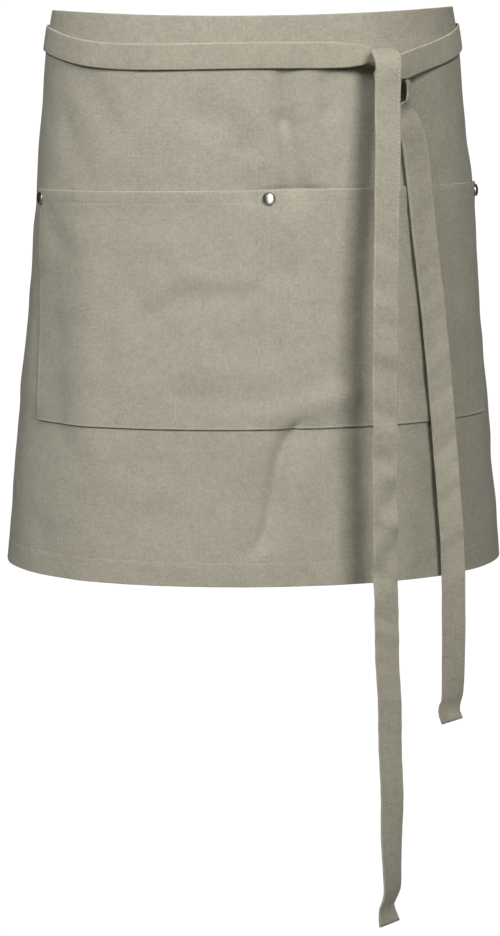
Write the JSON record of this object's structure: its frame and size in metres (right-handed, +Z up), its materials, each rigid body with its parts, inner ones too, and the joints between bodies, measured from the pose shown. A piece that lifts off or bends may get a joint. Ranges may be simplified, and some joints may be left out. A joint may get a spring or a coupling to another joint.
{
  "type": "bistro apron",
  "caption": "Short canvas waist apron with a wide riveted front pocket and long cloth ties that wrap round the waist and knot at the front.",
  "frame": {"origin": "middle of the waist hollow, level with the ties at the sides", "axes": "+Z up along the wearer, +X to the viewer's right, -Y out of the front with the pocket"},
  "size_m": [0.4329, 0.2713, 0.7436],
  "materials": {
    "canvas": "matte plain-weave cotton canvas, grey khaki",
    "tie_canvas": "matte folded and edge-stitched canvas strip, grey khaki",
    "rivet_metal": "dark polished gunmetal"
  },
  "bodies": {
    "root": {"skirt_panel": "canvas", "pocket": "canvas", "left_tie": "tie_canvas", "right_tie": "tie_canvas", "rivet_left": "rivet_metal", "rivet_centre": "rivet_metal", "rivet_right": "rivet_metal"}
  },
  "joints": []
}
